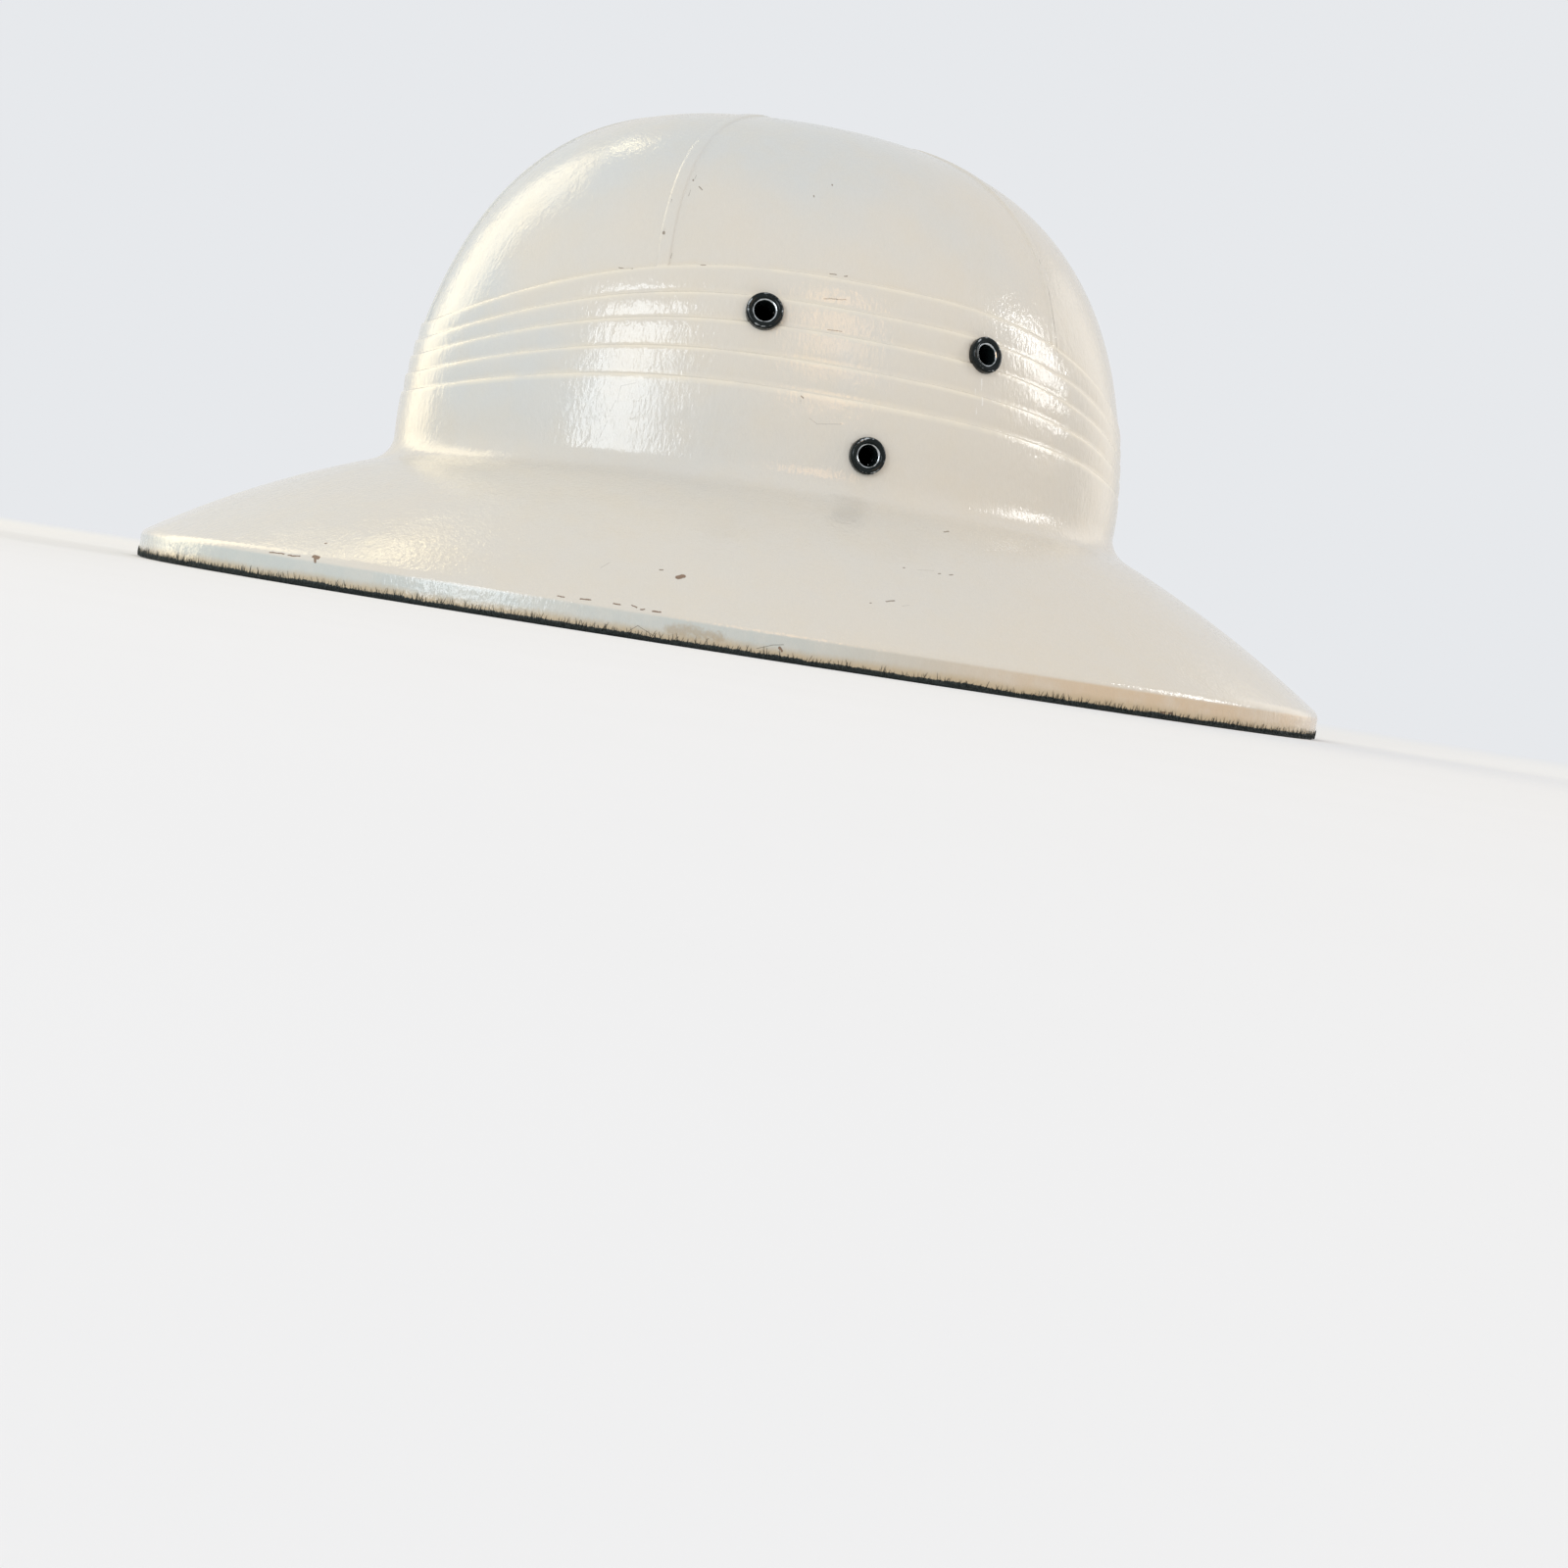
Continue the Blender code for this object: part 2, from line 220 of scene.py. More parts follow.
def pleatRelief(angle, height):
    # how far the pleats stand proud of the plain crown
    edges = [pleatEdge(angle, share) for share in pleat["shares"]]
    ends = edges[1:] + [edges[-1] - pleat["tail"]]
    for edge, end in zip(edges, ends):
        if end < height <= edge:
            below = edge - height
            if below < pleat["ledge"]:
                return pleat["depth"] * smooth(below / pleat["ledge"])
            share = (below - pleat["ledge"]) / (edge - end - pleat["ledge"])
            return pleat["depth"] * (1 - share ** pleat["fullness"])
    return 0.0


def outerCrown(angle, rise, extra=0.0):
    point = crownPoint(angle, rise, 0)
    return point + crownNormal(angle, rise) * (pleatRelief(angle, point.z) + extra)


def innerCrown(angle, rise):
    # the inside follows the pressing, a wall's thickness behind it
    point = crownPoint(angle, rise, shell["wall"])
    relief = pleatRelief(angle, point.z)
    return point + crownNormal(angle, max(0.01, rise)) * relief * pleat["insideShare"]


def curve(start, corner, end, share):
    return start.lerp(corner, share).lerp(corner.lerp(end, share), share)


def brimShare(angle, inset, reach):
    return reach / (rim(angle, inset) - crease(angle, inset)).length


def rowColumns(spread, radius):
    # the angle of each column in a row, and how much of a seam band's rise it gets
    seams = (0, quarter - spread, quarter + spread, pi, 3 * quarter - spread, 3 * quarter + spread)
    found = []
    for here, there in zip(seams, seams[1:] + (2 * pi,)):
        perHere = 1 / (crease(here, 0).length * radius)
        perThere = 1 / (crease(there, 0).length * radius)
        first = here + bandOffsets[-1] * perHere
        last = there - bandOffsets[-1] * perThere
        found += [(here + offset * perHere, bandShare(offset)) for offset in bandOffsets]
        found += [(first + (last - first) * step / plainColumns, 0.0) for step in range(1, plainColumns)]
        found += [(there - offset * perThere, bandShare(offset)) for offset in bandOffsets[:0:-1]]
    return found + [(2 * pi, 1.0)]


def bandShare(offset):
    return smooth((seam["halfWidth"] - offset) / (seam["halfWidth"] - seam["halfFlat"]))


def domeRow(share):
    turn = sin(quarter * share)
    topRise = riseAt(quarter, pleat["topSide"])
    middle = crownRise(crownRadius(topRise) * turn)
    spread = radians(seam["spread"] + seam["fan"] * max(0.0, middle - topRise))
    bandFade = smooth((turn - seam["fade"]) / seam["fadeLength"])
    joined = smooth((share - seam["join"]) / (1 - seam["join"]))
    rise = seam["rise"] + (pleat["depth"] - seam["rise"]) * joined
    row = []
    for angle, band in rowColumns(spread, max(crownRadius(middle), seam["fade"])):
        radius = crownRadius(riseAt(angle, pleatEdge(angle, 0))) * turn
        row.append(outerCrown(angle, crownRise(radius), rise * band * bandFade))
    return row


def pleatHeights(angle):
    # from the first edge to under the last ledge, close together on each ledge
    heights = []
    shares = pleat["shares"]
    for share, following in zip(shares, shares[1:] + (None,)):
        edge = pleatEdge(angle, share)
        ledge = [edge - pleat["ledge"] * step / 6 for step in range(7)]
        heights += ledge
        if following is not None:
            end = pleatEdge(angle, following)
            heights += [ledge[-1] + (end - ledge[-1]) * step / 7 for step in range(1, 7)]
    return heights[1:]


def pleatRow(share):
    # a band runs into the crest of the first pleat, so the first ledge stops beside it
    row = []
    for angle, band in rowColumns(radians(seam["spread"]), crownRadius(spacingRise)):
        heights = pleatHeights(angle)
        height = heights[round(share * (len(heights) - 1))]
        onFirstLedge = height > heights[0] - pleat["ledge"]
        extra = max(0.0, pleat["depth"] * band - pleatRelief(angle, height)) if onFirstLedge else 0.0
        row.append(outerCrown(angle, riseAt(angle, height), extra))
    return row


def lowerWall(angle, share):
    top = riseAt(angle, pleatEdge(angle, 1) - pleat["ledge"])
    low = riseAt(angle, creaseHeight(angle, 0) + shell["creaseFillet"])
    return outerCrown(angle, top + (low - top) * share)


def filletRise(angle, inset):
    # the fillet keeps its centre, so the inner one is wider by the wall
    return (shell["creaseFillet"] + inset) / (shell["height"] - inset - creaseHeight(angle, inset))


def fillet(angle, share, inset=0):
    start = crownPoint(angle, filletRise(angle, inset), inset)
    reach = brimShare(angle, inset, shell["creaseFillet"] + inset)
    return curve(start, brimPoint(angle, 0, inset), brimPoint(angle, reach, inset), share)


def brim(angle, share, inset=0):
    start = brimShare(angle, inset, shell["creaseFillet"] + inset)
    end = 1 - brimShare(angle, inset, shell["ridgeRounding"])
    return brimPoint(angle, start + (end - start) * share, inset)


def ridge(angle, share):
    corner = brimPoint(angle, 1, 0)
    side = corner - Vector((0, 0, shell["ridgeRounding"]))
    return curve(brim(angle, 1), corner, side, share)


def lip(angle, share):
    point = rim(angle, 0)
    top = ridge(angle, 1).z
    point.z = top + (shell["edgeRounding"] - top) * share
    return point


def lowerEdge(angle, share):
    # two rounded corners and a narrow flat between them
    corner = shell["edgeRounding"]
    turn = quarter * (share * 2 % 1 if share < 1 else 1)
    if share < 0.5:
        inset = corner * (1 - cos(turn))
        height = corner * (1 - sin(turn))
    else:
        inset = shell["wall"] - corner * (1 - sin(turn))
        height = corner * (1 - cos(turn))
    point = rim(angle, inset)
    point.z = height
    return point


def innerLip(angle, share):
    point = brimPoint(angle, 1, shell["wall"])
    point.z = shell["edgeRounding"] + (point.z - shell["edgeRounding"]) * share
    return point


def underside(angle, share):
    return brim(angle, 1 - share, shell["wall"])


def innerFillet(angle, share):
    return fillet(angle, 1 - share, shell["wall"])


def innerHeights(angle):
    # two rows on each ledge and two between, upwards from the lowest
    edges = [pleatEdge(angle, share) for share in reversed(pleat["shares"])]
    heights = []
    for edge, following in zip(edges, edges[1:] + [None]):
        heights += [edge - pleat["ledge"], edge]
        if following is not None:
            gap = following - pleat["ledge"] - edge
            heights += [edge + gap * step / 3 for step in (1, 2)]
    return heights


def innerWall(angle, share):
    low = filletRise(angle, shell["wall"])
    high = riseAt(angle, innerHeights(angle)[0], shell["wall"])
    return innerCrown(angle, low + (high - low) * share)


def innerPleats(angle, share):
    heights = innerHeights(angle)
    height = heights[round(share * (len(heights) - 1))]
    return innerCrown(angle, riseAt(angle, height, shell["wall"]))


def innerDome(angle, share):
    start = crownRadius(riseAt(angle, pleatEdge(angle, 0), shell["wall"]))
    return innerCrown(angle, crownRise(start * cos(quarter * share)))


def plainRow(place, share):
    angles = rowColumns(radians(seam["spread"]), crownRadius(spacingRise))
    return [place(angle, share) for angle, _ in angles]


# the section from the top, round the lip and up the inside: steps, and what places a row
outerStretches = (
    (52, domeRow),
    (58, pleatRow),
    (12, partial(plainRow, lowerWall)),
    (8, partial(plainRow, fillet)),
    (26, partial(plainRow, brim)),
    (8, partial(plainRow, ridge)),
    (5, partial(plainRow, lip)),
    (9, partial(plainRow, lowerEdge)),
)
innerStretches = (
    (3, partial(plainRow, innerLip)),
    (10, partial(plainRow, underside)),
    (6, partial(plainRow, innerFillet)),
    (4, partial(plainRow, innerWall)),
    (17, partial(plainRow, innerPleats)),
    (18, partial(plainRow, innerDome)),
)


def sectionRows(stretches, withFirst):
    rows = []
    for steps, place in stretches:
        rows += [place(step / steps) for step in range(0 if withFirst and not rows else 1, steps + 1)]
    return rows


def angleOf(point):
    return atan2(point.x / shell["crownWidth"], -point.y / shell["crownLength"])


def pleatTraces(point):
    # how near this place is to the foot of a ledge, where dirt and painted shade go, and to its crest, which
    # gets a painted highlight
    angle = angleOf(point)
    foot = crest = 0.0
    for share in pleat["shares"]:
        above = point.z - pleatEdge(angle, share)
        foot = max(foot, 1 - abs(above - pleat["dirtAndShadeAbove"]) / pleat["dirtAndShadeReach"])
        crest = max(crest, 1 - abs(above + pleat["ledge"]) / pleat["crestHighlightReach"])
    return max(0.0, foot), max(0.0, crest)


def unevenness(point):
    slow = noise.noise(point / shell["waveSize"]) * shell["waveDepth"]
    quick = noise.noise(point / shell["rippleSize"]) * shell["rippleDepth"]
    return (slow + quick) * smooth(point.z / shell["calmBelow"])


def makeShell():
    outer = sectionRows(outerStretches, True)
    rows = outer + sectionRows(innerStretches, False)
    columns = len(rows[0]) - 1
    steps = len(rows) - 1
    bm = bmesh.new()
    bmesh.ops.create_grid(bm, x_segments=columns, y_segments=steps, size=0.5)
    for face in bm.faces:
        row = round((0.5 - face.calc_center_median().y) * steps - 0.5)
        face.material_index = 0 if row < len(outer) - liningRows else 1
    for vert in bm.verts:
        column = round((vert.co.x + 0.5) * columns)
        row = round((0.5 - vert.co.y) * steps)
        vert.co = rows[row][column]
    bmesh.ops.remove_doubles(bm, verts=bm.verts, dist=merge)
    bmesh.ops.recalc_face_normals(bm, faces=bm.faces)
    bm.normal_update()
    foot = bm.verts.layers.float.new("ledgeFoot")
    crest = bm.verts.layers.float.new("ledgeCrest")
    for vert in bm.verts:
        vert[foot], vert[crest] = pleatTraces(vert.co)
        vert.co += vert.normal * unevenness(vert.co)
    return finish("helmetShell", bm, ())


def finish(name, bm, finishes):
    # a mesh drawn in millimetres becomes an object in metres, with its place in its mesh
    bmesh.ops.scale(bm, vec=(mm, mm, mm), verts=bm.verts)
    mesh = bpy.data.meshes.new(name)
    bm.to_mesh(mesh)
    bm.free()
    mesh.shade_smooth()
    for material in finishes:
        mesh.materials.append(material)
    made = bpy.data.objects.new(name, mesh)
    bpy.context.scene.collection.objects.link(made)
    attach(made, "root")
    return made


# the vent eyelets: radii and heights of one turned piece, over the wall's surface
eyelet = {
    "places": {"front": (-30.5, 86.0), "rear": (30.5, 86.0), "low": (0.0, 54.5)},
    "holeRadius": 2.65,
    "flangeRadius": 4.8,
    "rollCentre": 4.02,         # radius at which the rolled flange is highest
    "rise": 1.35,
    "sunk": 0.2,                # the flange's edge is pressed this far into the paint
    "stepRadius": 3.2,          # a fine groove where the barrel starts
    "stepHeight": 0.78,
    "clinchRadius": 4.5,
    "wornAndSheenRadius": 4.4,          # the flange's outer slope, where bare metal shows in patches, partly a painted reflection
    "sides": 72,
    "barrelWall": 0.95,         # the hole through the shell is this much wider all round
    "drillLength": 24.0,
    "drillSides": 48,
}


def wallAt(y, height):
    # the angle and point of the crown's left wall at a given length and height
    angle = quarter
    for _ in range(30):
        rise = riseAt(angle, height)
        reach = shell["crownLength"] / 2 * crownRadius(rise)
        angle = quarter + asin(y / reach)
    return angle, crownPoint(angle, rise, 0)


def arc(centre, radii, start, end, steps):
    turns = [radians(start + (end - start) * step / steps) for step in range(steps + 1)]
    return [(centre[0] + radii[0] * cos(turn), centre[1] + radii[1] * sin(turn)) for turn in turns]


def eyeletProfile(top, bottom):
    hole, flange = eyelet["holeRadius"], eyelet["flangeRadius"]
    rollCentre, step = eyelet["rollCentre"], eyelet["stepRadius"]
    rise = eyelet["rise"]
    stepHeight = top - rise + eyelet["stepHeight"]
    half = top - rise * 0.62
    clinch = eyelet["clinchRadius"]
    middle = (clinch + hole) / 2
    points = [(flange, -eyelet["sunk"])]
    points += arc((rollCentre, half), (flange - rollCentre, top - half), 0, 90, 8)
    points += arc((rollCentre, stepHeight), (rollCentre - step, top - stepHeight), 100, 172, 7)
    points += [(step - 0.04, stepHeight - 0.06), (step - 0.1, stepHeight - 0.02)]
    points += arc((step - 0.1, stepHeight - 0.55), (step - 0.1 - hole, 0.5), 95, 180, 6)
    points.append((hole, (stepHeight + bottom) / 2))
    points += arc((middle, bottom + 0.55), (middle - hole, 0.55), 180, 360, 12)
    points += [(clinch, bottom + 0.85), (hole + 0.7, bottom + 0.9), (hole + 0.7, -eyelet["sunk"])]
    return points


def makeEyelet(node, place, mirror, enamel):
    angle, centre = wallAt(*eyelet["places"][place])
    outward = crownNormal(angle, riseAt(angle, centre.z))
    centre.x *= mirror
    outward.x *= mirror
    reaches = [(vertex.co / mm - centre).dot(outward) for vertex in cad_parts[node].data.vertices]
    profile = eyeletProfile(max(reaches) - 0.2, min(reaches))
    bm = bmesh.new()
    ring = [bm.verts.new((radius, 0, height)) for radius, height in profile]
    edges = [bm.edges.new(pair) for pair in zip(ring, ring[1:] + ring[:1])]
    bmesh.ops.spin(bm, geom=ring + edges, axis=(0, 0, 1), cent=(0, 0, 0),
                   angle=2 * pi, steps=eyelet["sides"], use_merge=True)
    bmesh.ops.remove_doubles(bm, verts=bm.verts, dist=0.002)
    bmesh.ops.recalc_face_normals(bm, faces=bm.faces)
    # bare metal round the hole and on the flange's outer slope: worn enamel, and partly a painted reflection
    worn = bm.verts.layers.float.new("worn")
    for vert in bm.verts:
        radius = hypot(vert.co.x, vert.co.y)
        inner = 1 - abs(radius - eyelet["stepRadius"] + 0.25) / 0.3
        crest = 1 - abs(radius - eyelet["wornAndSheenRadius"]) / 0.35
        vert[worn] = max(0.0, inner, crest * 0.5) if vert.co.z > 0 else 0.0
    turn = outward.to_track_quat("Z", "Y").to_matrix().to_4x4()
    bmesh.ops.transform(bm, matrix=Matrix.Translation(centre) @ turn, verts=bm.verts)
    made = finish(node + "_fine", bm, (enamel,))
    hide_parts(node)
    return centre, outward


# loose fibres of the lining, which stand up along the lip's lower edge
bristles = {
    "stretches": 20,            # made a stretch of the rim at a time, which is quicker
    "perStretch": 210,
    "seed": 5,
    "shortest": 0.5,
    "longest": 2.1,
    "footLow": 0.25,            # how high on the lip they start
    "footHigh": 1.1,
    "thickness": 0.1,
    "lean": 0.5,
    "standOff": 0.24,
}


def addBristle(bm, angle, dice):
    foot = rim(angle, 0)
    sideways = (rim(angle + 0.01, 0) - foot).normalized()
    outward = Vector((sideways.y, -sideways.x, 0))
    length = bristles["shortest"] + (bristles["longest"] - bristles["shortest"]) * dice.random() ** 2
    foot.z = dice.uniform(bristles["footLow"], bristles["footHigh"])
    reach = Vector((0, 0, length)) + sideways * length * dice.uniform(-1, 1) * bristles["lean"]
    reach += outward * dice.uniform(0.3, 1) * bristles["standOff"]
    turn = reach.to_track_quat("Z", "Y").to_matrix().to_4x4()
    bmesh.ops.create_cone(bm, cap_ends=True, segments=3, radius1=bristles["thickness"],
                          radius2=bristles["thickness"] / 5, depth=reach.length,
                          matrix=Matrix.Translation(foot + reach / 2) @ turn)


def makeBristles(lining):
    dice = Random(bristles["seed"])
    count = bristles["stretches"] * bristles["perStretch"]
    whole = bmesh.new()
    stretch = bpy.data.meshes.new("stretch")
    for first in range(0, count, bristles["perStretch"]):
        bm = bmesh.new()
        for number in range(first, first + bristles["perStretch"]):
            addBristle(bm, (number + dice.random()) / count * 2 * pi, dice)
        bm.to_mesh(stretch)
        bm.free()
        whole.from_mesh(stretch)
    bpy.data.meshes.remove(stretch)
    made = finish("lipFibres", whole, (lining,))


def drillHoles(target, places):
    # one cutter of all the barrels, taken out of the wall and then removed
    bm = bmesh.new()
    for centre, outward in places:
        turn = outward.to_track_quat("Z", "Y").to_matrix().to_4x4()
        matrix = Matrix.Translation(centre) @ turn
        radius = eyelet["holeRadius"] + eyelet["barrelWall"]
        bmesh.ops.create_cone(bm, cap_ends=True, segments=eyelet["drillSides"], radius1=radius,
                              radius2=radius, depth=eyelet["drillLength"], matrix=matrix)
    cutter = finish("drill", bm, ())
    cut = target.modifiers.new("holes", "BOOLEAN")
    cut.operation = "DIFFERENCE"
    cut.solver = "MANIFOLD"
    cut.object = cutter
    drilled = bpy.data.meshes.new_from_object(
        target.evaluated_get(bpy.context.evaluated_depsgraph_get()))
    target.modifiers.clear()
    target.data = drilled
    bpy.data.objects.remove(cutter)


# nodes
def addNode(tree, kind, inputs=None, **settings):
    made = tree.nodes.new("ShaderNode" + kind)
    for name, value in settings.items():
        setattr(made, name, value)
    for name, value in (inputs or {}).items():
        if isinstance(value, bpy.types.NodeSocket):
            tree.links.new(value, made.inputs[name])
        else:
            made.inputs[name].default_value = value
    return made


def newMaterial(name, settings):
    made = bpy.data.materials.new(name)
    made.use_nodes = True
    shader = made.node_tree.nodes["Principled BSDF"]
    for socket, value in settings.items():
        shader.inputs[socket].default_value = value
    return made, made.node_tree, shader


def noiseOf(tree, place, size, detail, roughness=0.5):
    # a cloud pattern whose patches are about this many millimetres across
    return addNode(tree, "TexNoise", {"Vector": place, "Scale": 1 / (size * mm), "Detail": detail,
                                      "Roughness": roughness}).outputs["Fac"]


def between(tree, value, low, high, start=0.0, end=1.0):
    # a soft step from start to end as the value goes from low to high
    made = addNode(tree, "MapRange", {"Value": value, "From Min": low, "From Max": high,
                                      "To Min": start, "To Max": end}, interpolation_type="SMOOTHSTEP")
    return made.outputs["Result"]


def calculate(tree, operation, first, second):
    return addNode(tree, "Math", {0: first, 1: second}, operation=operation).outputs[0]


def blendColour(tree, share, first, second):
    made = tree.nodes.new("ShaderNodeMix")
    made.data_type = "RGBA"
    for socket, value in ((0, share), (6, first), (7, second)):
        if isinstance(value, bpy.types.NodeSocket):
            tree.links.new(value, made.inputs[socket])
        else:
            made.inputs[socket].default_value = value if socket == 0 else (*value, 1)
    return made.outputs[2]


def attributeOf(tree, name):
    return addNode(tree, "Attribute", attribute_name=name).outputs["Fac"]


def objectPlace(tree):
    return addNode(tree, "TexCoord").outputs["Object"]


def bumpFrom(tree, height, distance, normal=None):
    inputs = {"Height": height, "Distance": distance * mm, "Strength": 1.0}
    if normal:
        inputs["Normal"] = normal
    return addNode(tree, "Bump", inputs).outputs["Normal"]


# marks in the paint, each from one place in the real image to another, and its width in millimetres
marks = (
    ("chip", (704, 521), (709, 520), 1.3),
    ("chip", (335, 501), (339, 502), 1.1),
    ("chip", (336, 503), (336, 506), 0.6),
    ("chip", (346, 491), (347, 491), 0.6),
    ("chip", (289, 501), (304, 501), 0.30),
    ("chip", (308, 502), (320, 502), 0.30),
    ("chip", (583, 532), (590, 533), 0.28),
    ("chip", (606, 535), (616, 536), 0.34),
    ("chip", (640, 540), (646, 541), 0.38),
    ("chip", (658, 542), (663, 544), 0.30),
    ("chip", (667, 546), (671, 546), 0.30),
    ("chip", (679, 548), (687, 549), 0.34),
    ("chip", (1190, 679), (1194, 679), 0.5),
    ("chip", (1198, 680), (1201, 681), 0.5),
    ("chip", (807, 588), (809, 591), 0.6),
    ("scuff", (697, 567), (722, 569), 2.4),
    ("scuff", (720, 570), (748, 576), 1.9),
    # painted shadow along the edges of the front seam band
    ("crackAndShadowLine", (718, 161), (711, 178), 0.12),
    ("crackAndShadowLine", (711, 178), (693, 236), 0.15),
    ("crackAndShadowLine", (694, 182), (686, 212), 0.13),
    # a dark line along the rear seam band's edge
    ("crackAndShadowLine", (1057, 259), (1067, 288), 0.16),
    ("crackAndShadowLine", (1067, 288), (1072, 313), 0.22),
    ("crackAndShadowLine", (1072, 313), (1077, 347), 0.26),
    # cracks in the paint of the brim
    ("crackAndShadowLine", (655, 567), (664, 562), 0.16),
    ("crackAndShadowLine", (664, 562), (681, 573), 0.16),
    ("crackAndShadowLine", (784, 588), (800, 585), 0.18),
    ("crackAndShadowLine", (800, 585), (811, 585), 0.18),
    ("scratch", (643, 358), (658, 355), 0.22),
    ("scratch", (643, 358), (640, 370), 0.22),
    ("scratch", (638, 372), (632, 383), 0.22),
    ("scratch", (629, 393), (620, 411), 0.22),
    ("scratch", (626, 510), (635, 506), 0.26),
    ("scratch", (832, 391), (840, 397), 0.24),
    ("scratch", (840, 397), (864, 398), 0.26),
    ("scratch", (824, 364), (823, 374), 0.26),
    ("scratch", (943, 531), (959, 533), 0.24),
    ("scratch", (929, 559), (936, 559), 0.24),
    ("speck", (686, 212), (686, 213), 0.75),
    ("speck", (686, 514), (688, 514), 0.55),
    ("speck", (715, 165), (715, 166), 0.40),
    ("speck", (721, 171), (724, 174), 0.30),
    ("speck", (853, 172), (853, 173), 0.35),
    ("speck", (835, 181), (835, 182), 0.35),
    ("speck", (641, 246), (655, 246), 0.30),
    ("speck", (723, 242), (728, 242), 0.30),
    ("speck", (968, 505), (972, 505), 0.55),
    ("speck", (929, 528), (930, 528), 0.40),
    ("speck", (964, 536), (966, 536), 0.42),
    ("speck", (975, 538), (978, 538), 0.42),
    ("speck", (897, 554), (898, 554), 0.38),
    ("speck", (913, 554), (921, 554), 0.42),
    ("speck", (824, 369), (826, 371), 0.35),
    ("speck", (852, 253), (858, 254), 0.28),
    ("speck", (866, 256), (869, 256), 0.28),
    ("speck", (846, 276), (868, 278), 0.20),
    ("speck", (850, 306), (864, 308), 0.20),
    ("drip", (1003, 363), (1004, 388), 0.40),
    ("drip", (997, 372), (998, 396), 0.28),
)

# the shell's gloss paint
paintLooks = {
    "cream": (0.615, 0.57, 0.49),
    "grey": (0.55, 0.56, 0.54),
    "coolCastAlong": (75, -15),      # lengths between which cream gives way to grey, towards the front; there the grey is partly a painted cast of cool light
    "coolCastHeights": (35, 60),       # and heights, over which that painted cast grows up the crown
    "yellowed": (0.62, 0.54, 0.40),
    # paler paint along each ledge's crest, a painted highlight
    "crestHighlight": (0.76, 0.70, 0.57),
    # the lip's face colours are darker than the paint above as painted shade; the grey-blue is a painted
    # reflection, the tan partly stain
    "lipFront": (0.47, 0.50, 0.475),
    "lipRear": (0.57, 0.435, 0.29),
    "tan": (0.46, 0.36, 0.22),
    "roughness": 0.10,
    "worn": 0.22,
    "lipTop": 6.55,             # where the lip's painted shade, painted reflection and stain start, under the ridge
    "lipFade": 0.8,
    "lipPaintedLightAndStainFrom": (-50, 60),   # lengths between which the lip goes from grey-blue, a painted reflection, to tan, partly stain and partly painted shade
    "tanFrom": (2.8, 0.4),      # heights between which it turns tan all round
    "driftSize": 60,            # sizes of the paint's slow and quick changes of colour
    "mottleSize": 9,
    "dirtAndShade": (0.03, 0.28),       # least and most of the dirt and painted shade over a ledge
    "crestHighlightShare": (0.3, 0.75),         # and of the painted highlight along its crest
    "speckSpacing": 13,
    "speckShare": 0.55,
    "stripHeight": 1.05,        # the dark edge laps this far up the lip
    "stripRagged": 1.1,
    "stripWander": 1.3,
    "stripRough": 0.6,          # roughness of the strip and the chips
    "poured": (5.5, 0.13),      # size and depth of the long ripples, the orange peel and the chips
    "peel": (1.15, 0.13),
    "chipDepth": 0.12,
}
# what each kind of mark shows, how much of it, how raggedly, and how soft its edge is
markLooks = {
    "chip": ((0.17, 0.095, 0.05), 0.9, 0.45, 0.1),
    "scuff": ((0.36, 0.27, 0.16), 0.55, 2.4, 0.4),
    # dark lines: cracks, and painted shadow along the seam bands' edges
    "crackAndShadowLine": ((0.14, 0.125, 0.10), 0.7, 0.14, 0.1),
    "scratch": ((0.34, 0.32, 0.28), 0.4, 0.2, 0.1),
    "speck": ((0.16, 0.12, 0.08), 0.75, 0.3, 0.15),
    "drip": ((0.76, 0.75, 0.72), 0.6, 0.25, 0.3),
}
raggedSize = 0.9                # millimetres


def strokeMask(tree, place, start, end, width, soft):
    # one within half a width of the line from start to end, and none outside
    run = end - start
    offset = addNode(tree, "VectorMath", {0: place, 1: start}, operation="SUBTRACT").outputs["Vector"]
    along = addNode(tree, "VectorMath", {0: offset, 1: run / run.length_squared}, operation="DOT_PRODUCT")
    along = addNode(tree, "Clamp", {"Value": along.outputs["Value"]}).outputs["Result"]
    nearest = addNode(tree, "VectorMath", {0: run, "Scale": along}, operation="SCALE").outputs["Vector"]
    away = addNode(tree, "VectorMath", {0: offset, 1: nearest}, operation="DISTANCE").outputs["Value"]
    return between(tree, away, width * (0.5 + soft), width * (0.5 - soft))


def markMask(tree, place, kind, surface):
    # every mark of one kind, with its outline made ragged
    _, _, ragged, soft = markLooks[kind]
    cloud = addNode(tree, "TexNoise", {"Vector": place, "Scale": 1 / (raggedSize * mm), "Detail": 2.0})
    shift = addNode(tree, "VectorMath", {0: cloud.outputs["Color"], 1: (0.5, 0.5, 0.5)},
                    operation="SUBTRACT")
    shift = addNode(tree, "VectorMath", {0: shift.outputs["Vector"], "Scale": ragged * mm}, operation="SCALE")
    shifted = addNode(tree, "VectorMath", {0: place, 1: shift.outputs["Vector"]}, operation="ADD")
    mask = 0.0
    for name, start, end, width in marks:
        if name == kind:
            places = [photoRay(*pixel) for pixel in (start, end)]
            ends = [surface.ray_cast(place * mm, towards)[0] for place, towards in places]
            stroke = strokeMask(tree, shifted.outputs["Vector"], *ends, width * mm, soft)
            mask = calculate(tree, "MAXIMUM", stroke, mask)
    return mask


